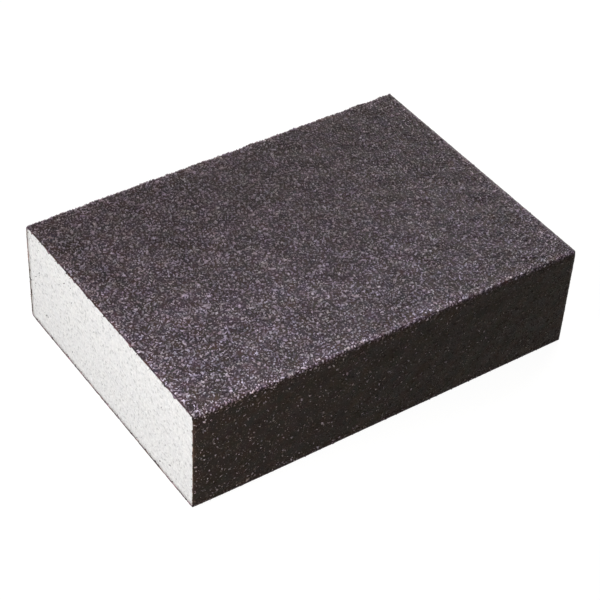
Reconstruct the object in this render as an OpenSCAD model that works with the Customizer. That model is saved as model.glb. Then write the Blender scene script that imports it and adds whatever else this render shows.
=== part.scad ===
// Four-sided sanding sponge: a bar of fine polyurethane foam whose four long faces
// carry one continuous coat of resin and abrasive grit. The bar is cut to length
// after coating, so the bare foam and the thin edge of the coat show at both ends.
//
// Frame: X runs along the coated length, Y across the width, Z up.
// The origin is the centre of the bottom grit face.

/* [Block] */
// Length of the block, from one cut end to the other
block_length = 98; // [60:1:200]
// Width of the block, over the coat
block_width = 69; // [40:1:150]
// Height of the block, over the coat
block_height = 26.5; // [10:0.5:60]
// Radius of the four long edges, over the coat
edge_radius = 0.5; // [0.5:0.1:4]

/* [Coat] */
// Thickness of the resin and grit coat
coat_thickness = 0.3; // [0.2:0.05:0.4]

/* [Smoothness] */
// Facets of a full circle in the preview
circle_facets = 64; // [24:8:128]

/* [Hidden] */

// The foam is what is left inside the coat, with the same edge centres.
foam_width = block_width - 2 * coat_thickness;
foam_height = block_height - 2 * coat_thickness;
foam_radius = edge_radius - coat_thickness;

// Overshoot of a cutting tool past the face that it cuts
cut_past = 1;

$fn = circle_facets;

// Section across the block, centred on the axis: a rectangle with four round corners.
module bar_section(width, height, radius) {
    square([width, height - 2 * radius], center = true);
    square([width - 2 * radius, height], center = true);
    for (side = [-1, 1], level = [-1, 1])
        translate([side * (width / 2 - radius), level * (height / 2 - radius)])
            circle(r = radius);
}

// A bar of that section along X, centred on the middle of the block.
module bar(length, width, height, radius) {
    translate([0, 0, block_height / 2])
        rotate([90, 0, 90])
            linear_extrude(height = length, center = true)
                bar_section(width, height, radius);
}

// Foam core, bare at its two cut ends.
module foam_block() {
    color("whitesmoke")
        bar(block_length, foam_width, foam_height, foam_radius);
}

// Resin and grit, one sleeve bonded round the four long faces and open at both ends.
module abrasive_coat() {
    color("#3b3538")
        difference() {
            bar(block_length, block_width, block_height, edge_radius);
            bar(block_length + 2 * cut_past, foam_width, foam_height, foam_radius);
        }
}

foam_block();
abrasive_coat();
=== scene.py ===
"""The looks of a four-sided sanding sponge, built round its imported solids.

The coat is a dark resin skin with tens of thousands of separate angular grains seated in it, and the
core is fine-celled foam, cut open at both ends. Everything is in metres, in the frame of the solids:
X runs along the coated length, Y across the width, Z up, and the block lies on Z = 0.
"""

import math

import bpy
import numpy as np
from bpy.props import FloatProperty, FloatVectorProperty, IntProperty, PointerProperty
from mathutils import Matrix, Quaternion, Vector


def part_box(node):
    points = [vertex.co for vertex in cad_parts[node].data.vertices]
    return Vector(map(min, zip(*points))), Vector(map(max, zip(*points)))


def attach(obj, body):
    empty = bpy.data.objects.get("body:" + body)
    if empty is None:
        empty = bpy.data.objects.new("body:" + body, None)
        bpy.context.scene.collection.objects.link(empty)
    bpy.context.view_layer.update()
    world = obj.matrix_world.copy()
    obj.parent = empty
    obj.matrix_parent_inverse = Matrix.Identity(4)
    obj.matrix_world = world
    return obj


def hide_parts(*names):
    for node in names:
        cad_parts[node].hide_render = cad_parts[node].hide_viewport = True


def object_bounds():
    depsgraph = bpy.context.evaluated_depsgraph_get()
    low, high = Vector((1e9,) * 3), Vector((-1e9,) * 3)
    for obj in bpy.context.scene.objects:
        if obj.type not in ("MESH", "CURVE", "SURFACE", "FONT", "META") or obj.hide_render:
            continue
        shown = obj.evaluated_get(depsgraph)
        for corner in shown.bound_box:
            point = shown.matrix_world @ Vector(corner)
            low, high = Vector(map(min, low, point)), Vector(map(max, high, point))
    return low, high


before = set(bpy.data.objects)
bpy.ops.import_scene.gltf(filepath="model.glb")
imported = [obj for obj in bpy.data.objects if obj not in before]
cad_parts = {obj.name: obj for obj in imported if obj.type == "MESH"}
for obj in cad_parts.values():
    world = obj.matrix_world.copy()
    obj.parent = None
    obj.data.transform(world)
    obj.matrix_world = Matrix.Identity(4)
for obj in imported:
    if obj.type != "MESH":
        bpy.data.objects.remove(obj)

bl_info = {
    "name": "Sanding sponge",
    "version": (1, 0, 0),
    "blender": (4, 5, 0),
    "location": "3D View > Sidebar > Sanding sponge",
    "description": "Builds the grit coat, the open foam and the studio of a sanding sponge",
    "category": "Object",
}

MM = 0.001

# The solids' own sizes
SOLID_LOW, SOLID_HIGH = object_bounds()
COAT_LOW, COAT_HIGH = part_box("abrasive_coat")
LENGTH, WIDTH, HEIGHT = COAT_HIGH - COAT_LOW
MIDDLE = (COAT_LOW + COAT_HIGH) / 2
MIDDLE_YZ = np.array(MIDDLE)[1:]

# The section's outline: four flats, each followed by a rounded edge
EDGE = 0.5 * MM
EDGE_RUN = math.pi / 2 * EDGE
FLATS = (WIDTH - 2 * EDGE, HEIGHT - 2 * EDGE) * 2
RUNS = np.array([run for flat in FLATS for run in (flat, EDGE_RUN)])
STARTS = np.concatenate([[0.0], np.cumsum(RUNS)])
GIRTH = float(STARTS[-1])
EDGE_MIDDLES = STARTS[1::2] + EDGE_RUN / 2

# How far the corners of one end are drawn in, how far that reaches across and along the block, how
# far the same end leans in at the bottom, and how far along the block that reaches
TUCK = 0.15 * MM
TUCK_REACH = 2.0 * MM
TUCK_LENGTH = 7.0 * MM
LEAN = 0.30 * MM
LEAN_LENGTH = 20 * MM

# How much thinner the coat's cut rim is at the back and the bottom, where the cutter pressed it
PRESSED = 0.12 * MM

# The coat's waves: how many there are, and how far from the cut ends and from the bottom edges they
# reach their height
WAVE_COUNT = 24
WAVE_END_REACH, WAVE_EDGE_REACH = 2 * MM, 3 * MM

# How far the bead on the bottom edges reaches, how far inside the front and the back the raised resin,
# a dark sheet that stands in for shade, stands at its full height and the painted shade has its full
# strength, and how far the skin keeps off the ground
BEAD_REACH = 0.8 * MM
FLOOD_REACH, PAINTED_SHADE_REACH = 2 * MM, 0.5 * MM
SKIN_CLEARANCE = 0.02 * MM

# How strong the painted sheen is on the cut ends beside the long edges
END_SHEEN = 0.8

# The coat's cut rims: how rough their inner edge is, and how far the outer one frays
RIM_ROUGHNESS = 0.03 * MM
RIM_FRAY = 0.04 * MM

# Lumps of resin on a rim: half their width, their height as a share of the highest, how steep their
# flanks are, the share of the rounded edges that one may fill, and the height that stays free of dust
LUMP_HALF_WIDTHS = (0.35 * MM, 0.7 * MM)
LUMP_SHARES = (0.2, 1.0)
LUMP_STEEPNESS = 1.6
LUMP_ROOM = 0.6
LUMP_BARE_HEIGHT = 0.12 * MM

# The lips of a cut rim: each one's share of the coat's depth and how far it stands out of the cut,
# how far they fray, and how many points apart their dust changes
LIPS = ((0.5, 0.07 * MM), (1.0, 0.02 * MM))
LIP_FRAY = 0.03 * MM
DUST_PATCH = 5

# Where the rim turns in to the coat's inner face: how much deeper, and how far in from the cut
TURN_DEEPER = 0.06 * MM
TURN_INWARD = 0.6 * MM

# A broken grain has two points and three corners between them, each a little astray, and is drawn
# out or flattened
GRAIN_CORNERS = np.array([
    [0, 0, 1], [0, 0, -1], [1, 0, 0], [-0.5, 0.866, 0], [-0.5, -0.866, 0],
])
GRAIN_FACES = np.array([[0, 2, 3], [0, 3, 4], [0, 4, 2], [1, 3, 2], [1, 4, 3], [1, 2, 4]])
CORNER_STRAY = 0.16
GRAIN_STRETCH = (0.78, 1.22)

# The smallest and the largest grain, as shares of a middling one
SMALLEST, LARGEST = 0.7, 1.5

# How far grains stray from even places, how unevenly the cutter trimmed them, and the shade that
# even grains have
GRAIN_SHIFT = 0.46
GRAIN_TRIM = 0.05 * MM
EVEN_TINT = 0.35

# Stray grains on the foam's ends: how far most lie from the coat, the share of the rounded edges that
# they may fill, the share that the cutter dragged and how far, their sizes as shares of a middling
# grain, how deep they sit, and their palest tint
STRAY_DEPTH = 0.9 * MM
STRAY_ROOM = 0.9
DRAGGED_SHARE = 0.4
DRAGGED_REACH = 9 * MM
STRAY_SIZES = (0.3, 0.62)
STRAY_SINK = 0.03 * MM
DARK_TINT = 0.5

# Half the width of a grain in its patch of the bake map
PATCH_HALF = 0.42

# Slow swirls in the cut foam: how many, how long, and how far they push a cell
SWIRL_COUNT = 10
SWIRL_LENGTHS = (2 * MM, 7 * MM)
SWIRL_PUSH = 0.022 * MM

# How deep cells lie, as shares of a deep one, how much of that a shut cell keeps, how the foam sinks
# beside the coat, how deep its outermost points lie, and how many times less far the darkening beside
# the coat reaches from the top and the front
CELL_SHARES = (0.45, 1.15)
SHUT_DEPTH = 0.15
RIM_SINK, RIM_SINK_REACH = 0.06 * MM, 0.3 * MM
RIM_DEPTH = 0.08 * MM
SHORTER_REACH = 3

# How far in from the cut the foam's waist begins, and how far the pressed rims are felt
WAIST_INWARD = 1.5 * MM
PRESSED_REACH = 0.5 * MM

# The foam's bake map: the height of an end, where the second end lies, and the strips of the sides
END_HEIGHT, SECOND_END = 0.4, 0.42
STRIP_LEVELS, STRIP_HEIGHT = (0.85, 0.90, 0.95), 0.04


# ---- The section's outline ----


def outline(along, inset):
    """Places in Y and Z, and outward normals, of points so far along the outline and so deep under it.

    The outline starts on top at the front edge, and runs over the top, down the back, forward
    under the bottom and up the front. Each array of results ends in an axis of Y and Z."""
    along = np.asarray(along) % GIRTH
    run = np.clip(np.searchsorted(STARTS, along, side="right") - 1, 0, len(RUNS) - 1)
    share = (along - STARTS[run]) / RUNS[run]
    side, rounding = run // 2, run % 2
    facing = (side + rounding * share) * math.pi / 2
    corners = 0.5 * np.array([(1, 1), (1, -1), (-1, -1), (-1, 1)]) * FLATS[:2]
    came_from, goes_to = corners[side - 1], corners[side]
    travelled = np.where(rounding == 1, 1.0, share)[..., None]
    normal = np.stack([np.sin(facing), np.cos(facing)], -1)
    centre = came_from + (goes_to - came_from) * travelled + (MIDDLE.y, MIDDLE.z)
    return centre + normal * (EDGE - np.asarray(inset))[..., None], normal


def bottom_gap(along):
    """How far places along the outline lie from the middle of the nearer bottom edge."""
    return np.abs(along[..., None] - EDGE_MIDDLES[1:3]).min(-1)


def coat_waves(coat):
    """The coat's gentle waves, as a function of the places along the outline and along X. They meet
    round the section, and die out at the cut ends and the bottom edges."""
    rng = np.random.default_rng(coat.seed + 1)
    most_turns = int(GIRTH / coat.wave_length)
    turns = rng.integers(1, most_turns, WAVE_COUNT) * rng.choice([-1, 1], WAVE_COUNT)
    lengthways = rng.uniform(-1, 1, WAVE_COUNT) * 2 * math.pi / coat.wave_length
    phase = rng.uniform(0, 2 * math.pi, WAVE_COUNT)
    rise = coat.wave_height * math.sqrt(2 / WAVE_COUNT)

    def field(along, x):
        level = np.zeros(np.broadcast(along, x).shape)
        for turn, wave, start in zip(turns, lengthways, phase):
            level += rise * np.sin(turn * 2 * math.pi * along / GIRTH + wave * x + start)
        end_fade = 1 - np.exp((np.abs(x) - LENGTH / 2) / WAVE_END_REACH)
        fade = np.minimum(end_fade, bottom_gap(along) / WAVE_EDGE_REACH)
        return np.clip(level, -2 * coat.wave_height, 2 * coat.wave_height) * fade.clip(min=0)

    return field


def edge_gap(along):
    """How far places along the outline lie from the middle of the nearest long edge."""
    away = (np.asarray(along)[..., None] - EDGE_MIDDLES + GIRTH / 2) % GIRTH - GIRTH / 2
    return np.abs(away).min(-1)


def side_share(along, reach):
    """1 on the front and the back, and less within this reach of their edges."""
    from_front = np.minimum(along - STARTS[6], STARTS[7] - along)
    from_back = np.minimum(along - STARTS[2], STARTS[3] - along)
    return np.clip(np.maximum(from_front, from_back) / reach, 0, 1)


def flooding(coat, along):
    """How much higher the resin stands on the front and the back, and in a bead on each bottom edge."""
    bead = coat.bead_height * np.exp(-bottom_gap(along) / BEAD_REACH)
    # On the front and the back the raised resin is a dark sheet that stands in for shade there.
    return np.maximum(coat.side_shade_flooding * side_share(along, FLOOD_REACH), bead)


def edge_sheen(coat, along, x):
    """Painted sheen: 1 on the long edges, a little less on the cut ends, and less the further a place
    lies in.
    """
    beside_edge = np.exp(-edge_gap(along) / coat.sheen_reach)
    beside_end = END_SHEEN * np.exp((np.abs(x) - LENGTH / 2) / coat.sheen_reach)
    return np.maximum(beside_edge, beside_end)


def as_cut(places):
    """Shapes the end at -X as the cutter left it: its corners are drawn in, and it leans a little."""
    from_middle = places[:, 1:] - MIDDLE_YZ
    gaps = np.array(SOLID_HIGH - SOLID_LOW)[1:] / 2 - np.abs(from_middle)
    from_end = places[:, 0] + LENGTH / 2
    corner = np.exp(-gaps.clip(min=0).sum(1) / TUCK_REACH - from_end.clip(min=0) / TUCK_LENGTH)
    moved = places.copy()
    moved[:, 1:] -= np.sign(from_middle) * (TUCK * corner)[:, None]
    low_down = 1 - places[:, 2] / HEIGHT
    moved[:, 0] += LEAN * low_down * np.clip(1 - from_end / LEAN_LENGTH, 0, 1)
    return moved


# ---- Meshes ----


def make_piece(name, places, faces, spread, stands_for, material, values):
    """One closed mesh that rides on the block. spread gives its bake map, corner by corner, and
    values the numbers that its points carry, each with its name."""
    mesh = bpy.data.meshes.new(name)
    mesh.from_pydata(as_cut(places), [], faces)
    layer = mesh.uv_layers.new(name="OFBake")
    layer.uv.foreach_set("vector", np.ascontiguousarray(spread, np.float32).ravel())
    for label, numbers in values:
        attribute = mesh.attributes.new(label, "FLOAT", "POINT")
        attribute.data.foreach_set("value", np.ascontiguousarray(numbers, np.float32))
    mesh.shade_smooth()
    mesh.materials.append(material)
    mesh.validate()
    piece = bpy.data.objects.new(name, mesh)
    bpy.context.scene.collection.objects.link(piece)
    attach(piece, "root")
    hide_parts(stands_for)
    return piece


def ring_faces(rings, columns):
    """The quads between rings of as many points each, where the last ring meets the first one, with
    the ring and column of each quad's corners."""
    ring, column = np.divmod(np.arange(rings * columns), columns)
    steps = [(0, 0), (1, 0), (1, 1), (0, 1)]
    at_ring = np.stack([ring + step for step, _ in steps], 1)
    at_column = np.stack([column + step for _, step in steps], 1)
    faces = (at_ring % rings) * columns + at_column % columns
    return faces, at_ring, at_column


def rim_lumps(rng, along, coat):
    """How far the coat's cut rim reaches into the foam at places along the outline: small uneven
    steps, thin stretches at the back and the bottom, and here and there a lump of resin."""
    single = rng.normal(0, 1, along.size)
    reach = RIM_ROUGHNESS * (0.6 * single + 0.5 * np.roll(single, 1) + 0.3 * np.roll(single, 2))
    reach -= PRESSED * ((along > STARTS[2]) & (along < STARTS[5]))
    for _ in range(coat.lump_count):
        away = np.abs((along - rng.uniform(0, GIRTH) + GIRTH / 2) % GIRTH - GIRTH / 2)
        half_width = rng.uniform(*LUMP_HALF_WIDTHS)
        height = coat.lump_height * rng.uniform(*LUMP_SHARES)
        reach = np.maximum(reach, height * np.minimum(1, LUMP_STEEPNESS * (1 - away / half_width)))
    room = LUMP_ROOM * (EDGE - coat.coat_depth) + edge_gap(along)
    return np.minimum(reach, room)


def resin_skin(coat):
    """Places, faces, map, rim dust with painted sheen, and share of painted shade of the resin: a wavy
    sleeve with torn rims, closed along its inside."""
    rng = np.random.default_rng(coat.seed)
    columns = round(GIRTH / coat.skin_step)
    rows = round(LENGTH / (3 * coat.skin_step))
    along = np.arange(columns) * GIRTH / columns
    waves = coat_waves(coat)
    rings, dust_and_sheen = [], []
    for x in np.linspace(-LENGTH / 2, LENGTH / 2, rows + 1):
        spot, _ = outline(along, coat.resin_depth - waves(along, x) - flooding(coat, along))
        spot[:, 1] = spot[:, 1].clip(min=SKIN_CLEARANCE)
        rings.append(np.column_stack([np.full(columns, x), spot]))
        dust_and_sheen.append(edge_sheen(coat, along, x))
    for end in (1, -1):
        outer = rings[-1] if end == 1 else rings[0]
        outer[:, 0] += end * np.abs(rng.normal(0, RIM_FRAY, columns))
        lips, lip_wear = [], []
        patches = rng.uniform(0, 2, columns // DUST_PATCH + 2)
        dust = np.interp(np.arange(columns) / DUST_PATCH, np.arange(len(patches)), patches)
        for share, stands_out in LIPS:
            depth = coat.resin_depth + share * (coat.coat_depth - coat.resin_depth)
            lumps = rim_lumps(rng, along, coat)
            spot, _ = outline(along, depth + share * lumps)
            x = LENGTH / 2 + stands_out + np.abs(rng.normal(0, LIP_FRAY, columns))
            lips.append(np.column_stack([end * x, spot]))
            lip_wear.append(np.where(lumps > LUMP_BARE_HEIGHT, 0.0, coat.rim_dust * dust))
        spot, _ = outline(along, coat.coat_depth + TURN_DEEPER)
        lips.append(np.column_stack([np.full(columns, end * (LENGTH / 2 - TURN_INWARD)), spot]))
        lip_wear.append(np.zeros(columns))
        rings += lips[::end]
        dust_and_sheen += lip_wear[::end]
    places = np.concatenate(rings)
    faces, ring, column = ring_faces(len(rings), columns)
    spread = np.stack([column / columns, ring / len(rings)], -1)
    # Share of painted shade: 1 on the front and the back.
    painted_shade_share = np.tile(side_share(along, PAINTED_SHADE_REACH), len(rings))
    return places, faces, spread.reshape(-1, 2), np.concatenate(dust_and_sheen), painted_shade_share


def turned(rng, count):
    """Random rotations, as matrices."""
    q = rng.normal(size=(count, 4))
    w, x, y, z = (q / np.linalg.norm(q, axis=1, keepdims=True)).T
    return np.stack([
        np.stack([1 - 2 * (y * y + z * z), 2 * (x * y - w * z), 2 * (x * z + w * y)], -1),
        np.stack([2 * (x * y + w * z), 1 - 2 * (x * x + z * z), 2 * (y * z - w * x)], -1),
        np.stack([2 * (x * z - w * y), 2 * (y * z + w * x), 1 - 2 * (x * x + y * y)], -1),
    ], 1)


def broken_grains(rng, radii):
    """Corners of one angular grain for each radius, about its own middle."""
    count = len(radii)
    corners = GRAIN_CORNERS + rng.normal(0, CORNER_STRAY, (count, len(GRAIN_CORNERS), 3))
    corners *= rng.uniform(*GRAIN_STRETCH, (count, 1, 3))
    corners = np.einsum("nij,nkj->nki", turned(rng, count), corners)
    return corners * radii[:, None, None]


def grain_map(count):
    """Each grain's own patch of the bake map, corner by corner: its points lie in the patch's middle
    and its other corners round them."""
    across = math.ceil(math.sqrt(count))
    row, column = np.divmod(np.arange(count), across)
    middle = np.stack([column + 0.5, row + 0.5], -1) / across
    around = GRAIN_CORNERS[:, :2] * PATCH_HALF / across
    corners = middle[:, None, :] + around[None, :, :]
    return corners[:, GRAIN_FACES].reshape(-1, 2)


def grain_piece(name, middles, corners, tint, dust_and_sheen, painted_shade_share, material):
    """Joins grains into one piece of the coat."""
    count, each = len(middles), len(GRAIN_CORNERS)
    places = (middles[:, None, :] + corners).reshape(-1, 3)
    faces = (np.arange(count)[:, None, None] * each + GRAIN_FACES).reshape(-1, 3)
    return make_piece(
        name, places, faces, grain_map(count), "abrasive_coat", material,
        values=[("tint", np.repeat(tint, each)), ("dust_and_sheen", np.repeat(dust_and_sheen, each)),
                ("painted_shade_share", np.repeat(painted_shade_share, each))],
    )


def seated_grains(rng, coat, first, last):
    """Middles, corners, tints, painted sheen and share of painted shade of the grains on the outline
    from first to last.
    """
    across = round((last - first) / coat.grain_spacing)
    down = round(LENGTH / coat.grain_spacing)
    row, column = np.divmod(np.arange(across * down), across)
    shift = rng.uniform(-GRAIN_SHIFT, GRAIN_SHIFT, (2, across * down))
    along = first + (column + 0.5 + shift[0]) / across * (last - first)
    x = LENGTH * ((row + 0.5 + shift[1]) / down - 0.5)
    kept = rng.uniform(size=along.size) > coat.missing
    along, x = along[kept], x[kept]

    shares = rng.lognormal(0, coat.size_spread, along.size).clip(SMALLEST, LARGEST)
    corners = broken_grains(rng, coat.grain_size * shares / 2)
    spot, normal = outline(along, coat.resin_depth - coat_waves(coat)(along, x))
    outward = np.column_stack([np.zeros(len(x)), normal])
    highest = np.einsum("nkj,nj->nk", corners, outward).max(1)
    stands = coat.point_height + rng.normal(0, coat.point_spread, len(x)) - highest
    middles = np.column_stack([x, spot]) + outward * stands[:, None]

    # The cutter trimmed the grains at the two ends.
    trim = rng.uniform(-GRAIN_TRIM, GRAIN_TRIM, len(x))
    room = LENGTH / 2 + trim - np.abs(corners[:, :, 0]).max(1)
    middles[:, 0] = np.clip(middles[:, 0], -room, room)

    # Nothing reaches below the face that the block lies on.
    below = (middles[:, 2] + corners[:, :, 2].min(1)).clip(max=0)
    middles[:, 2] -= below

    # The grains differ most in shade at one corner, and grow alike away from it.
    from_corner = (x / LENGTH + spot[:, 0] / WIDTH + 1) / 2
    contrast = 1 - coat.evenness * from_corner.clip(0, 1)
    tint = EVEN_TINT + (rng.uniform(size=len(x)) - EVEN_TINT) * contrast
    return middles, corners, tint, edge_sheen(coat, along, x), side_share(along, PAINTED_SHADE_REACH)


def foam_lattice(foam):
    """The cut foam's lattice of points: rows and columns, which point is the middle of a cell, and
    its triangles. Each cell is a middle with six corners, and neighbours share corners."""
    step = foam.cell_size / math.sqrt(3)
    columns = round((WIDTH - 2 * foam.foam_depth) / step)
    rows = round((HEIGHT - 2 * foam.foam_depth) / (step * math.sqrt(3) / 2))
    row, column = np.divmod(np.arange((rows + 1) * (columns + 1)), columns + 1)
    slant = column - (row - row % 2) // 2
    is_middle = (slant - row) % 3 == 0
    low_row, low_column = np.divmod(np.arange(rows * columns), columns)
    a = low_row * (columns + 1) + low_column
    b, c, d = a + 1, a + columns + 1, a + columns + 2
    even = (low_row % 2 == 0)[:, None]
    first = np.where(even, np.column_stack([a, b, c]), np.column_stack([a, d, c]))
    second = np.where(even, np.column_stack([b, d, c]), np.column_stack([a, b, d]))
    rim = (row == 0) | (row == rows) | (column == 0) | (column == columns)
    return row, column, rows, columns, is_middle, rim, np.concatenate([first, second])


def foam_end(rng, foam, lattice):
    """One cut end: the lattice's places in Y and Z, how deep each lies, and its gap to the coat,
    which counts three times as far from the top and from the front."""
    row, column, rows, columns, is_middle, rim, _ = lattice
    wide, tall = WIDTH - 2 * foam.foam_depth, HEIGHT - 2 * foam.foam_depth
    across = np.where(rim, column, column + 0.5 * (row % 2)) / columns
    up = row / rows
    y, z = (across - 0.5) * wide, (up - 0.5) * tall
    inside = ~rim
    spread = foam.cell_size * foam.unevenness
    y[inside] += rng.normal(0, spread, inside.sum())
    z[inside] += rng.normal(0, spread, inside.sum())

    # Slow swirls make the cells larger in one place than in another.
    for _ in range(SWIRL_COUNT):
        direction = rng.uniform(0, 2 * math.pi)
        wave = 2 * math.pi / rng.uniform(*SWIRL_LENGTHS)
        push = np.sin((y * math.cos(direction) + z * math.sin(direction)) * wave + rng.uniform(0, 6))
        fade = np.minimum(1, np.minimum(wide / 2 - np.abs(y), tall / 2 - np.abs(z)) / MM).clip(0)
        y += SWIRL_PUSH * push * math.sin(direction) * fade
        z += SWIRL_PUSH * push * math.cos(direction) * fade

    # The foam presses out against the thin rims at the back and the bottom.
    y += PRESSED * np.exp((y - wide / 2) / PRESSED_REACH)
    z -= PRESSED * np.exp((-tall / 2 - z) / PRESSED_REACH)

    # The four corners of the section are round.
    radius = EDGE - foam.foam_depth
    past_y, past_z = np.abs(y) - (wide / 2 - radius), np.abs(z) - (tall / 2 - radius)
    far = np.hypot(past_y, past_z)
    outside = (past_y > 0) & (past_z > 0) & (far > radius)
    pull = np.where(outside, radius / np.maximum(far, 1e-9), 1)
    y = np.where(outside, np.sign(y) * (wide / 2 - radius + past_y * pull), y)
    z = np.where(outside, np.sign(z) * (tall / 2 - radius + past_z * pull), z)

    depth = np.abs(rng.normal(0, foam.wall_unevenness, len(y)))
    cell = foam.cell_depth * rng.uniform(*CELL_SHARES, len(y))
    shut = rng.uniform(size=len(y)) < foam.shut_share
    depth = np.where(is_middle, np.where(shut, SHUT_DEPTH * cell, cell), depth)
    gap = np.minimum(wide / 2 - np.abs(y), tall / 2 - np.abs(z))
    depth += RIM_SINK * np.exp(-gap / RIM_SINK_REACH)
    depth[rim] = RIM_DEPTH
    bottom_back_gap = np.minimum(wide / 2 - y, tall / 2 + z)
    top_front_gap = np.minimum(wide / 2 + y, tall / 2 - z)
    return y + MIDDLE.y, z + MIDDLE.z, depth, np.minimum(bottom_back_gap, SHORTER_REACH * top_front_gap)


def foam_core(foam):
    """Places, faces, map and values of the core: two cut ends of open cells, joined by plain sides
    that the resin hides."""
    rng = np.random.default_rng(foam.seed)
    lattice = foam_lattice(foam)
    row, column, rows, columns, _, rim, triangles = lattice
    each = len(row)
    places, depths, gaps = [], [], []
    for end in (-1, 1):
        y, z, depth, gap = foam_end(rng, foam, lattice)
        places.append(np.column_stack([end * (LENGTH / 2 - depth), y, z]))
        depths.append(depth)
        gaps.append(gap)

    # Between the ends, a slightly slimmer waist keeps clear of the waves in the coat.
    grid = np.arange(each).reshape(rows + 1, columns + 1)
    loop = np.concatenate([grid[0, :-1], grid[:-1, -1], grid[-1, :0:-1], grid[:0:-1, 0]])
    slimmer = 1 - 2 * foam.waist / np.array([WIDTH, HEIGHT])
    for end, end_places in zip((-1, 1), tuple(places)):
        waist = end_places[loop]
        waist[:, 0] -= end * WAIST_INWARD
        waist[:, 1:] = (waist[:, 1:] - MIDDLE_YZ) * slimmer + MIDDLE_YZ
        places.append(waist)
        depths.append(np.zeros(len(loop)))
        gaps.append(np.zeros(len(loop)))
    low_waist = 2 * each + np.arange(len(loop))
    bands = [loop, low_waist, low_waist + len(loop), loop + each]
    sides = [np.column_stack([lower, np.roll(lower, -1), np.roll(upper, -1), upper])
             for lower, upper in zip(bands[:-1], bands[1:])]
    faces = [*triangles[:, ::-1].tolist(), *(triangles + each).tolist(), *np.concatenate(sides).tolist()]

    flat_map = np.column_stack([column / columns, row / rows * END_HEIGHT])
    lifted = flat_map + (0, SECOND_END)
    turn = np.arange(len(loop))[:, None] / len(loop)
    across = np.hstack([turn, turn + 1 / len(loop), turn + 1 / len(loop), turn])
    side_maps = []
    for low in STRIP_LEVELS:
        high = low + STRIP_HEIGHT
        side_maps.append(np.stack([across, np.tile([low, low, high, high], (len(loop), 1))], -1))
    spread = np.concatenate([
        flat_map[triangles[:, ::-1]].reshape(-1, 2),
        lifted[triangles].reshape(-1, 2),
        np.concatenate(side_maps).reshape(-1, 2),
    ])
    values = [("depth", np.concatenate(depths) / foam.cell_depth),
              ("gap", np.concatenate(gaps) / MM)]
    return np.concatenate(places), faces, spread, values


# ---- Materials ----


# A Mix node has its sockets once for each kind of data, so those for colours go by number.
FIRST_COLOUR, SECOND_COLOUR, MIXED_COLOUR = 6, 7, 2


class Wire:
    """A node's output in Python arithmetic: each operator adds the node that works it out."""

    def __init__(self, board, socket):
        self.board = board
        self.socket = socket

    def worked(self, operation, first, second):
        """A Math node on two values, or a Vector Math node if either is a colour or a vector."""
        wires = [term for term in (first, second) if isinstance(term, Wire)]
        many = any(wire.socket.type != "VALUE" for wire in wires)
        kind = "ShaderNodeVectorMath" if many else "ShaderNodeMath"
        return self.board.node(kind, {"operation": operation}, {0: first, 1: second})

    def __add__(self, other):
        return self.worked("ADD", self, other)

    def __radd__(self, other):
        return self.worked("ADD", other, self)

    def __sub__(self, other):
        return self.worked("SUBTRACT", self, other)

    def __rsub__(self, other):
        return self.worked("SUBTRACT", other, self)

    def __mul__(self, other):
        return self.worked("MULTIPLY", self, other)

    def __rmul__(self, other):
        return self.worked("MULTIPLY", other, self)

    def raised(self, power):
        """This value to a power."""
        return self.worked("POWER", self, power)

    def larger(self, other):
        """The larger of two values."""
        return self.worked("MAXIMUM", self, other)

    def mixed_with(self, other, share):
        """This colour with a share of another one."""
        return self.board.mix(self, other, share)

    def ramp(self, *stops):
        """This value read off a ramp of places and their colours."""
        return self.board.node("ShaderNodeValToRGB", {"stops": stops}, {0: self})

    def between(self, low, high):
        """How far this value is from low to high, from 0 to 1."""
        return self.board.node("ShaderNodeMapRange", {"clamp": True}, {0: self, 1: low, 2: high})


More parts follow.
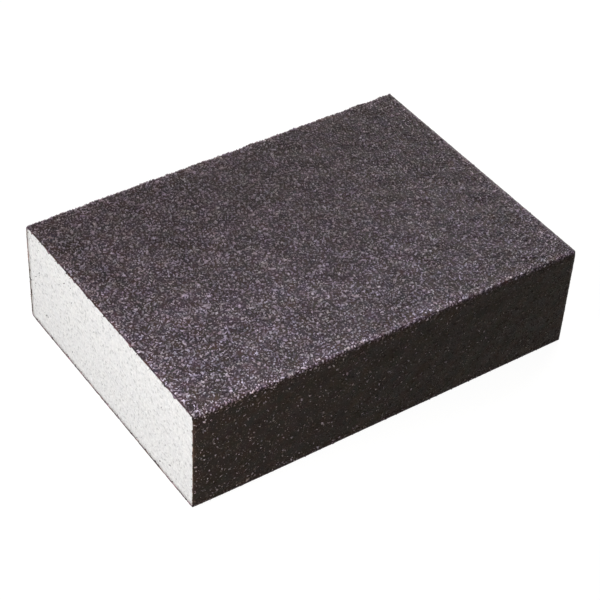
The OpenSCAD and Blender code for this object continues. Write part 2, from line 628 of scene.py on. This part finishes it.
class Board:
    """A node tree being wired."""

    def __init__(self, tree):
        self.tree = tree

    def node(self, kind, settings=None, sockets=None, output=0):
        """Adds a node: first its settings, then its sockets' values or links, by name or number."""
        node = self.tree.nodes.new(kind)
        for name, value in (settings or {}).items():
            if name == "stops":
                self.set_stops(node.color_ramp, value)
            else:
                setattr(node, name, value)
        for name, value in (sockets or {}).items():
            self.join(value, node.inputs[name])
        return Wire(self, node.outputs[output])

    def join(self, value, socket):
        """Links a wire to a socket, or sets the socket's own value."""
        if isinstance(value, Wire):
            self.tree.links.new(value.socket, socket)
        elif socket.type == "RGBA":
            socket.default_value = (*value, 1.0)
        else:
            socket.default_value = value

    def set_stops(self, ramp, stops):
        """Gives a ramp its stops, each a place with a colour."""
        while len(ramp.elements) > 1:
            ramp.elements.remove(ramp.elements[-1])
        for number, (place, colour) in enumerate(stops):
            stop = ramp.elements[0] if number == 0 else ramp.elements.new(place)
            stop.position = place
            stop.color = (*colour, 1.0)

    def finish(self, shader):
        """Ends the tree in this shader."""
        end = self.tree.nodes.new("ShaderNodeOutputMaterial")
        self.join(shader, end.inputs["Surface"])

    def attribute(self, name):
        """A number that the mesh carries."""
        settings = {"attribute_type": "GEOMETRY", "attribute_name": name}
        return self.node("ShaderNodeAttribute", settings, None, "Fac")

    def mix(self, first, second, share):
        """One colour with a share of another."""
        sockets = {"Factor": share, FIRST_COLOUR: first, SECOND_COLOUR: second}
        return self.node("ShaderNodeMix", {"data_type": "RGBA"}, sockets, MIXED_COLOUR)

    def painted_shade(self, tint, share):
        """The tint of painted shade, mixed with white at this share."""
        return self.mix((1.0, 1.0, 1.0), tuple(tint), share)

    def place(self):
        """The point's place on the block, in metres."""
        return self.node("ShaderNodeTexCoord", None, None, "Object")

    def colour(self, red, green, blue):
        """A colour from its three shares."""
        sockets = {"Red": red, "Green": green, "Blue": blue}
        return self.node("ShaderNodeCombineColor", None, sockets)

    def noise(self, size, detail=2.0, roughness=0.5):
        """Soft noise with features of about this size, from 0 to 1."""
        sockets = {"Vector": self.place(), "Scale": 1 / size, "Detail": detail, "Roughness": roughness}
        return self.node("ShaderNodeTexNoise", None, sockets, "Fac")

    def bump(self, height, depth, strength=1.0):
        """A normal for a relief of this depth."""
        sockets = {"Height": height, "Distance": depth, "Strength": strength}
        return self.node("ShaderNodeBump", None, sockets, "Normal")


def new_finish(name, constants):
    """A material, the board of its nodes and its shader, whose constant sockets are set."""
    material = bpy.data.materials.new(name)
    material.use_nodes = True
    shader = material.node_tree.nodes["Principled BSDF"]
    for label, value in constants.items():
        shader.inputs[label].default_value = value
    return material, Board(material.node_tree), shader


def grain_finish(coat):
    """Broken mineral: each grain has a shade of its own, from near black to glassy. Clumps of grains
    are paler or darker together, and the edges are paler with a painted sheen. On the front and the back
    the grains get a darker, warmer painted shade, all but the palest, which get a painted glint."""
    material, board, shader = new_finish(
        "mineral_grain",
        {"Specular IOR Level": coat.grain_gloss, "Specular Tint": (*coat.gloss_tint, 1.0)},
    )
    tint = board.attribute("tint")
    shade = tint.ramp(
        (0.0, tuple(coat.grain_dark)),
        (0.5, tuple(coat.grain_plain)),
        (0.9, tuple(coat.grain_light)),
        (1.0, tuple(coat.grain_glassy)),
    )
    clumps = board.noise(coat.clump_size, detail=1.0).between(0.25, 0.75) - 0.5
    drift = board.noise(7 * MM, detail=3.0).between(0.3, 0.7) - 0.5
    evenness = 1 + clumps * (2 * coat.clumping) + drift * (2 * coat.mottling)
    # Painted sheen: the grains are paler beside the long edges and the cut ends.
    dust_and_sheen = board.attribute("dust_and_sheen") * coat.dust_and_sheen * (board.noise(25 * MM).between(0.25, 0.7) * 0.5 + 0.5)
    warm = board.noise(3.2 * MM) - 0.5
    cool = board.noise(2.3 * MM) - 0.5
    hue = board.colour(1 + warm * 0.36, 0.99, 1 + warm * 0.2 + cool * 0.55)
    # Painted shade, darker and warmer, on the grains of the front and the back.
    painted_shade_share = board.attribute("painted_shade_share")
    # Painted glint: the palest grains on the front and the back are spared the painted shade and made
    # paler.
    bare = tint.between(coat.glint_tint, coat.glint_tint + 0.05)
    painted_shade = board.painted_shade(coat.grain_side_shade, painted_shade_share * (1 - bare)) * (1 + painted_shade_share * bare * coat.glint_gain)
    grime = board.noise(0.35 * MM) + 0.5
    board.join(shade * hue * painted_shade * (evenness * grime * (1 + dust_and_sheen)), shader.inputs["Base Color"])
    fracture = board.noise(0.15 * MM, detail=1.0)
    board.join(fracture * 0.3 + 0.35, shader.inputs["Roughness"])
    board.join(board.bump(fracture, 0.01 * MM, 0.3), shader.inputs["Normal"])
    return material


def resin_finish(coat):
    """Dark resin between the grains, uneven where it ran up round them, and redder or bluer in
    places."""
    material, board, shader = new_finish(
        "grit_resin",
        {"Specular IOR Level": coat.resin_gloss, "Specular Tint": (*coat.gloss_tint, 1.0)},
    )
    mottle = board.noise(7 * MM, detail=3.0)
    fine = board.noise(0.22 * MM, detail=3.0, roughness=0.6)
    colour = mottle.ramp((0.35, tuple(coat.resin_dark)), (0.65, tuple(coat.resin_light)))
    # Painted sheen makes the resin paler beside the long edges and the cut ends, and foam dust pales the
    # cut rims.
    dust_and_sheen = board.attribute("dust_and_sheen") * coat.dust_and_sheen
    # Painted shade makes the resin darker and warmer on the front and the back.
    painted_shade = board.painted_shade(coat.resin_side_shade, board.attribute("painted_shade_share"))
    warm = board.noise(2.2 * MM) - 0.5
    cool = board.noise(3 * MM, detail=1.0) - 0.5
    hue = board.colour(1 + warm * 1.3, 1.0, 1 + cool * 1.2)
    board.join(colour * hue * painted_shade * ((fine + 0.5) * (1 + dust_and_sheen)), shader.inputs["Base Color"])
    board.join(fine * 0.3 + 0.45, shader.inputs["Roughness"])
    board.join(board.bump(fine, 0.12 * MM), shader.inputs["Normal"])
    return material


def foam_finish(foam):
    """Cut polyurethane foam: pale walls, cell bottoms greyed with painted shade, a few pores darkened
    with painted shade, and foam that is darker beside the coat."""
    material, board, shader = new_finish("cut_foam", {"Specular IOR Level": 0.25})
    depth = board.attribute("depth")
    gap = board.attribute("gap")
    cloudy = board.noise(3 * MM, detail=3.0)
    lumps = board.noise(0.8 * MM, detail=3.0)
    fine = board.noise(0.12 * MM, detail=3.0, roughness=0.6)
    # Painted shade: the deeper a point lies in a cell, the greyer it is.
    colour = depth.ramp((0.0, tuple(foam.wall_colour)), (1.0, tuple(foam.cell_shade_colour)))
    # Painted shade in a few large pores.
    pores = board.noise(0.6 * MM, detail=0.0).between(foam.pore_level, foam.pore_level + 0.10)
    colour = colour.mixed_with(tuple(foam.pore_shade_colour), pores * 0.5)
    # The foam is darker beside the coat, and this reaches further in from the bottom and the back.
    haze = (1 - gap.between(0.0, 1.3)).raised(1.2) * 0.45  # gap is in millimetres
    blotches = 1 - (gap + lumps * 0.9).between(0.45, 0.75)
    colour = colour.mixed_with(tuple(foam.rim_dark_colour), haze.larger(blotches * 0.6))
    texture = cloudy * 0.10 + lumps * foam.lumpiness + fine * 0.10 + (0.90 - foam.lumpiness / 2)
    tinge = board.noise(1.8 * MM, detail=1.0) - 0.5
    hue = board.colour(1 + tinge * 0.03, 1.0, 1 - cloudy * 0.04)
    board.join(colour * hue * texture, shader.inputs["Base Color"])
    board.join(fine * 0.2 + 0.75, shader.inputs["Roughness"])
    board.join(board.bump(fine, 0.05 * MM, 0.6), shader.inputs["Normal"])
    return material


def floor_finish(studio):
    """Pale floor that is white to the eye and in reflections, and keeps the block's shadow."""
    material = bpy.data.materials.new("studio_floor")
    material.use_nodes = True
    board = Board(material.node_tree)
    board.tree.nodes.clear()
    paint = board.node("ShaderNodeBsdfDiffuse", None, {"Color": tuple(studio.floor_colour)})
    glow = board.node("ShaderNodeEmission", None, {"Strength": white_rays(board) * studio.floor_lift})
    both = board.node("ShaderNodeAddShader", None, {0: paint, 1: glow})
    board.finish(both)
    return material


def white_rays(board):
    """1 for what the eye sees directly, in a gloss or through glass, and 0 for light that falls."""
    rays = [board.node("ShaderNodeLightPath", None, None, name)
            for name in ("Is Camera Ray", "Is Glossy Ray", "Is Transmission Ray")]
    return rays[0].larger(rays[1]).larger(rays[2])


# ---- Settings ----


def length_setting(name, description, default):
    """A length in metres, shown in the user's units."""
    return FloatProperty(
        name=name, description=description, default=default, min=0.0,
        unit="LENGTH", subtype="DISTANCE", precision=5,
    )


def share_setting(name, description, default):
    """A part of the whole, from 0 to 1."""
    return FloatProperty(name=name, description=description, default=default, min=0, max=1)


def colour_setting(name, description, default):
    """A colour, as its linear red, green and blue."""
    return FloatVectorProperty(
        name=name, description=description, default=default, min=0, max=1, subtype="COLOR",
    )


class CoatSettings(bpy.types.PropertyGroup):
    """Sizes and colours of the grit coat."""

    seed: IntProperty(name="Seed", description="Start of the coat's random numbers", default=60)
    grain_spacing: length_setting("Grain spacing", "Mean distance between grains", 0.54 * MM)
    grain_size: length_setting("Grain size", "Width of a middling grain", 0.76 * MM)
    size_spread: share_setting("Size spread", "How much the grains differ in size", 0.24)
    missing: share_setting("Missing grains", "Share of places with no grain", 0.03)
    point_spread: length_setting("Point spread", "How far the points stray from one level", 0.025 * MM)
    point_height: length_setting("Point height", "How far grain points rise above the resin", 0.20 * MM)
    resin_depth: length_setting("Resin depth", "Depth of the resin's face", 0.11 * MM)
    # The raised resin on the front and the back is a dark sheet that stands in for shade there.
    side_shade_flooding: length_setting("Side flooding", "Resin's extra height on front and back", 0.10 * MM)
    bead_height: length_setting("Bead height", "Resin's extra height on the bottom edges", 0.15 * MM)
    # Painted shade, darker and warmer, on the resin and the grains of the front and the back.
    resin_side_shade: colour_setting("Film tint", "Colour of the thicker resin there", (0.93, 0.964, 0.72))
    grain_side_shade: colour_setting("Grain film", "Colour of its film over a grain", (0.56, 0.564, 0.45))
    # The palest grains there are spared the painted shade and given a painted glint.
    glint_tint: share_setting("Bare tint", "Palest grains stand bare of the film from this tint", 0.78)
    glint_gain: FloatProperty(
        name="Bare shine", description="How much paler bare grains look in the film", default=0.8, min=0,
    )
    coat_depth: length_setting("Coat depth", "Depth of the coat's inner face", 0.30 * MM)
    skin_step: length_setting("Skin step", "Distance between the resin's mesh points", 0.30 * MM)
    wave_length: length_setting("Wave length", "Shortest wave of the coat", 6.0 * MM)
    wave_height: length_setting("Wave height", "Usual height of the coat's waves", 0.06 * MM)
    lump_count: IntProperty(name="Rim lumps", description="Lumps of resin on a cut rim", default=30)
    lump_height: length_setting("Lump height", "How far a lump reaches into the foam", 0.6 * MM)
    clump_size: length_setting("Clump size", "Width of a clump of grains", 0.9 * MM)
    clumping: share_setting("Clumping", "How much clumps of grains differ in shade", 0.55)
    mottling: share_setting("Mottling", "How far the shade drifts over the coat", 0.15)
    evenness: share_setting("Evenness", "How much more alike far grains are in shade", 0.60)
    # Strength of the painted sheen on the edges; in the resin it also scales the pale foam dust on the
    # cut rims.
    dust_and_sheen: share_setting("Wear", "How much paler the worn edges are", 1.0)
    rim_dust: FloatProperty(
        name="Rim dust", description="How much paler foam dust makes the cut rims", default=9.0, min=0,
    )
    # Reach of the painted sheen from an edge.
    sheen_reach: length_setting("Wear reach", "How far the wear reaches from an edge", 1.2 * MM)
    grain_gloss: share_setting("Grain gloss", "Mirror light of a grain, 0.5 for glass", 0.12)
    resin_gloss: share_setting("Resin gloss", "Mirror light of the resin, 0.5 for glass", 0.12)
    gloss_tint: colour_setting("Gloss tint", "Colour of the coat's mirror light", (1.0, 0.96, 0.74))
    grain_dark: colour_setting("Dark grain", "Darkest grains", (0.0228, 0.0137, 0.018))
    grain_plain: colour_setting("Plain grain", "Middling grains", (0.1314, 0.1004, 0.110))
    grain_light: colour_setting("Light grain", "Light grains", (0.2236, 0.1892, 0.202))
    grain_glassy: colour_setting("Glassy grain", "Palest grains", (0.347, 0.314, 0.330))
    resin_dark: colour_setting("Dark resin", "Resin where it is thick", (0.0145, 0.0088, 0.009))
    resin_light: colour_setting("Light resin", "Resin where it is thin", (0.030, 0.0195, 0.021))


class FoamSettings(bpy.types.PropertyGroup):
    """Sizes and colours of the foam."""

    seed: IntProperty(name="Seed", description="Start of the foam's random numbers", default=7)
    foam_depth: length_setting("Foam depth", "Foam's side faces below the coat's", 0.22 * MM)
    waist: length_setting("Waist", "How much slimmer the hidden middle is, a side", 0.30 * MM)
    cell_size: length_setting("Cell size", "Width of a foam cell", 0.40 * MM)
    cell_depth: length_setting("Cell depth", "Depth of a deep cell", 0.15 * MM)
    wall_unevenness: length_setting("Wall unevenness", "Torn height of the walls", 0.02 * MM)
    unevenness: share_setting("Cell unevenness", "How far cell corners stray", 0.10)
    shut_share: share_setting("Shut cells", "Share of cells with a skin left on", 0.35)
    stray_count: IntProperty(name="Stray grains", description="Loose grains an end", default=75)
    lumpiness: share_setting("Lumpiness", "How much patches of foam differ in shade", 0.50)
    # Level of the noise above which pores get painted shade.
    pore_level: share_setting("Pore level", "Higher for fewer dark pores", 0.63)
    wall_colour: colour_setting("Wall colour", "Cut walls", (0.905, 0.893, 0.885))
    # Painted shade at the bottoms of the cells.
    cell_shade_colour: colour_setting("Cell colour", "Bottoms of the cells", (0.78, 0.768, 0.76))
    # Painted shade in the large pores.
    pore_shade_colour: colour_setting("Pore colour", "Large open pores", (0.45, 0.44, 0.43))
    # Colour of the darker foam beside the coat.
    rim_dark_colour: colour_setting("Soaked colour", "Foam that took up resin", (0.15, 0.12, 0.105))


class StudioSettings(bpy.types.PropertyGroup):
    """Floor, light and camera."""

    floor_size: length_setting("Floor size", "Width of the floor", 6.0)
    floor_colour: colour_setting("Floor colour", "Paint of the floor", (0.10, 0.095, 0.085))
    floor_lift: share_setting("Floor lift", "White that the eye sees on the floor", 0.95)
    fill: share_setting("Fill", "Even light from all round", 0.02)
    azimuth: FloatProperty(
        name="Camera azimuth", description="Way that the camera looks, from +Y towards +X",
        default=math.radians(36.74), subtype="ANGLE", unit="ROTATION",
    )
    elevation: FloatProperty(
        name="Camera elevation", description="How far down the camera looks",
        default=math.radians(41.36), subtype="ANGLE", unit="ROTATION",
    )
    roll: FloatProperty(
        name="Camera roll", description="Turn about the line of sight",
        default=math.radians(3.77), subtype="ANGLE", unit="ROTATION",
    )
    distance: length_setting("Camera distance", "From the camera to its target", 0.4088)
    target: FloatVectorProperty(
        name="Camera target", description="Point that the camera looks at, from the block's middle",
        default=(-2.61 * MM, -4.36 * MM, -0.25 * MM), unit="LENGTH", subtype="TRANSLATION",
    )
    lens: FloatProperty(
        name="Lens", description="Focal length in millimetres", default=111.37, unit="CAMERA",
    )


# ---- Operators ----


class SPONGE_OT_resin_skin(bpy.types.Operator):
    """Build the resin that holds the grains, one sleeve round the four long faces"""

    bl_idname = "sponge.resin_skin"
    bl_label = "Resin skin"

    def execute(self, context):
        coat = context.scene.sponge_coat
        places, faces, spread, dust_and_sheen, painted_shade_share = resin_skin(coat)
        make_piece(
            "coat_skin", places, faces, spread, "abrasive_coat",
            resin_finish(coat), values=[("dust_and_sheen", dust_and_sheen), ("painted_shade_share", painted_shade_share)],
        )
        return {"FINISHED"}


class SPONGE_OT_grit(bpy.types.Operator):
    """Seat the abrasive grains on the four long faces, one piece a face"""

    bl_idname = "sponge.grit"
    bl_label = "Abrasive grains"

    def execute(self, context):
        coat = context.scene.sponge_coat
        material = grain_finish(coat)
        top, back, bottom, front = STARTS[0], STARTS[1], STARTS[4], STARTS[5]
        stretches = {
            "grit_top": (top, back),
            "grit_back": (back, bottom),
            "grit_bottom": (bottom, front),
            "grit_front": (front, GIRTH),
        }
        for number, (name, (first, last)) in enumerate(stretches.items()):
            rng = np.random.default_rng(coat.seed + 10 + number)
            grain_piece(name, *seated_grains(rng, coat, first, last), material)
        return {"FINISHED"}


class SPONGE_OT_foam(bpy.types.Operator):
    """Build the foam core with open cells at its two cut ends"""

    bl_idname = "sponge.foam"
    bl_label = "Foam core"

    def execute(self, context):
        foam = context.scene.sponge_foam
        places, faces, spread, values = foam_core(foam)
        core = make_piece(
            "foam_core", places, faces, spread, "foam_block",
            foam_finish(foam), values=values,
        )
        return {"FINISHED"}


class SPONGE_OT_stray_grains(bpy.types.Operator):
    """Strew the loose grains that cutting left on the foam's ends"""

    bl_idname = "sponge.stray_grains"
    bl_label = "Stray grains"

    def execute(self, context):
        coat, foam = context.scene.sponge_coat, context.scene.sponge_foam
        rng = np.random.default_rng(foam.seed + 1)
        count = 2 * foam.stray_count
        end = np.repeat([-1, 1], foam.stray_count)
        depth = coat.coat_depth + rng.exponential(STRAY_DEPTH, count).clip(max=EDGE * STRAY_ROOM)
        deeper = rng.uniform(size=count) < DRAGGED_SHARE
        spot, normal = outline(rng.uniform(0, GIRTH, count), depth)
        spot -= normal * np.where(deeper, rng.uniform(0, DRAGGED_REACH, count), 0)[:, None]
        sizes = coat.grain_size * rng.uniform(*STRAY_SIZES, count)
        middles = np.column_stack([end * (LENGTH / 2 - STRAY_SINK), spot])
        material = bpy.data.materials["mineral_grain"]
        tint = rng.uniform(0, DARK_TINT, count)
        corners = broken_grains(rng, sizes / 2)
        grain_piece("stray_grains", middles, corners, tint, 0 * tint, 0 * tint, material)
        return {"FINISHED"}


class SPONGE_OT_studio(bpy.types.Operator):
    """Set up the floor, the lights and the camera"""

    bl_idname = "sponge.studio"
    bl_label = "Studio"

    def execute(self, context):
        studio = context.scene.sponge_studio
        make_floor(studio)
        light_the_world(studio)
        inside_front = COAT_LOW.y + 6 * MM
        near_corner = Vector((COAT_LOW.x, inside_front, COAT_HIGH.z))
        front_edge = Vector((MIDDLE.x, inside_front, 0))
        softbox(
            "end_softbox", place=(-0.34, -0.01, 0.12), target=MIDDLE, size=(0.12, 0.10),
            power=0.465, colour=(1.0, 0.98, 1.03),
        )
        softbox(
            "high_softbox", place=(-0.30, -0.033, 0.26), target=MIDDLE, size=(0.12, 0.12),
            power=0.77, colour=(0.98, 1.01, 1.01),
        )
        softbox(
            "far_softbox", place=(0.29, 0.17, 0.14), target=MIDDLE, size=(0.21, 0.17),
            power=1.32, colour=(1.0, 0.99, 1.035),
        )
        softbox(
            "near_lamp", place=(-0.046, -0.029, 0.08), target=near_corner, size=(0.03, 0.02),
            power=0.0245, colour=(0.955, 1.0, 1.20),
        )
        softbox(
            "low_lamp", place=(-0.054, -0.082, 0.03), target=near_corner, size=(0.02, 0.02),
            power=0.0060, colour=(1.16, 0.974, 0.88),
        )
        softbox(
            "edge_lamp", place=(0, -0.024, 0.055), target=front_edge, size=(0.10, 0.006),
            power=0.011, colour=(0.89, 1.005, 1.22),
        )
        set_camera(context.scene, studio)
        context.scene.view_settings.view_transform = "Standard"
        return {"FINISHED"}


def make_floor(studio):
    """A thin slab whose upper face is at Z = 0."""
    half, thick = studio.floor_size / 2, 5 * MM
    square = ((-half, -half), (half, -half), (half, half), (-half, half))
    corners = [(x, y, z) for z in (0, -thick) for x, y in square]
    faces = [(0, 1, 2, 3), (7, 6, 5, 4), (0, 4, 5, 1), (1, 5, 6, 2), (2, 6, 7, 3), (3, 7, 4, 0)]
    mesh = bpy.data.meshes.new("studio_floor")
    mesh.from_pydata(corners, [], faces)
    mesh.materials.append(floor_finish(studio))
    floor = bpy.data.objects.new("studio_floor", mesh)
    bpy.context.scene.collection.objects.link(floor)


def light_the_world(studio):
    """An even, weak fill, which the eye and reflections see as white."""
    world = bpy.data.worlds.new("studio_world")
    world.use_nodes = True
    bpy.context.scene.world = world
    board = Board(world.node_tree)
    strength = white_rays(board) * (1 - studio.fill) + studio.fill
    board.join(strength, world.node_tree.nodes["Background"].inputs["Strength"])
    world.node_tree.nodes["Background"].inputs["Color"].default_value = (1, 1, 1, 1)


def softbox(name, place, target, size, power, colour):
    """A soft rectangular lamp that shines on the target and isn't itself seen."""
    lamp = bpy.data.lights.new(name, "AREA")
    lamp.shape = "RECTANGLE"
    lamp.size, lamp.size_y = size
    lamp.energy, lamp.color = power, colour
    holder = bpy.data.objects.new(name, lamp)
    bpy.context.scene.collection.objects.link(holder)
    holder.location = place
    holder.rotation_mode = "QUATERNION"
    holder.rotation_quaternion = (Vector(target) - Vector(place)).to_track_quat("-Z", "Y")
    holder.visible_camera = False


def set_camera(scene, studio):
    """The camera at its target, level apart from its roll."""
    lens = bpy.data.cameras.new("camera")
    lens.sensor_width, lens.lens = 36, studio.lens
    lens.clip_start, lens.clip_end = 0.01, 20
    camera = bpy.data.objects.new("camera", lens)
    scene.collection.objects.link(camera)
    level, down = math.cos(studio.elevation), math.sin(studio.elevation)
    ahead = Vector((math.sin(studio.azimuth) * level, math.cos(studio.azimuth) * level, -down))
    camera.location = MIDDLE + Vector(studio.target) - ahead * studio.distance
    camera.rotation_mode = "QUATERNION"
    facing = ahead.to_track_quat("-Z", "Y")
    camera.rotation_quaternion = facing @ Quaternion((0, 0, 1), studio.roll)
    scene.camera = camera


class SPONGE_PT_panel(bpy.types.Panel):
    """Lists the steps that build the sponge"""

    bl_label = "Sanding sponge"
    bl_space_type = "VIEW_3D"
    bl_region_type = "UI"
    bl_category = "Sanding sponge"

    def draw(self, context):
        for name in STEPS:
            self.layout.operator(name)
        for group in ("sponge_coat", "sponge_foam", "sponge_studio"):
            settings = getattr(context.scene, group)
            box = self.layout.box()
            for key in settings.bl_rna.properties.keys():
                if key not in ("rna_type", "name"):
                    box.prop(settings, key)


STEPS = ("sponge.resin_skin", "sponge.grit", "sponge.foam", "sponge.stray_grains", "sponge.studio")
CLASSES = (
    CoatSettings, FoamSettings, StudioSettings, SPONGE_OT_resin_skin, SPONGE_OT_grit,
    SPONGE_OT_foam, SPONGE_OT_stray_grains, SPONGE_OT_studio, SPONGE_PT_panel,
)


def register():
    """Adds the settings, the steps and the panel."""
    for item in CLASSES:
        bpy.utils.register_class(item)
    bpy.types.Scene.sponge_coat = PointerProperty(type=CoatSettings)
    bpy.types.Scene.sponge_foam = PointerProperty(type=FoamSettings)
    bpy.types.Scene.sponge_studio = PointerProperty(type=StudioSettings)


def unregister():
    """Takes out what register added."""
    del bpy.types.Scene.sponge_studio
    del bpy.types.Scene.sponge_foam
    del bpy.types.Scene.sponge_coat
    for item in reversed(CLASSES):
        bpy.utils.unregister_class(item)


def main():
    """Builds the sponge and its studio."""
    register()
    bpy.ops.sponge.resin_skin()
    bpy.ops.sponge.grit()
    bpy.ops.sponge.foam()
    bpy.ops.sponge.stray_grains()
    bpy.ops.sponge.studio()


if __name__ == "__main__":
    main()
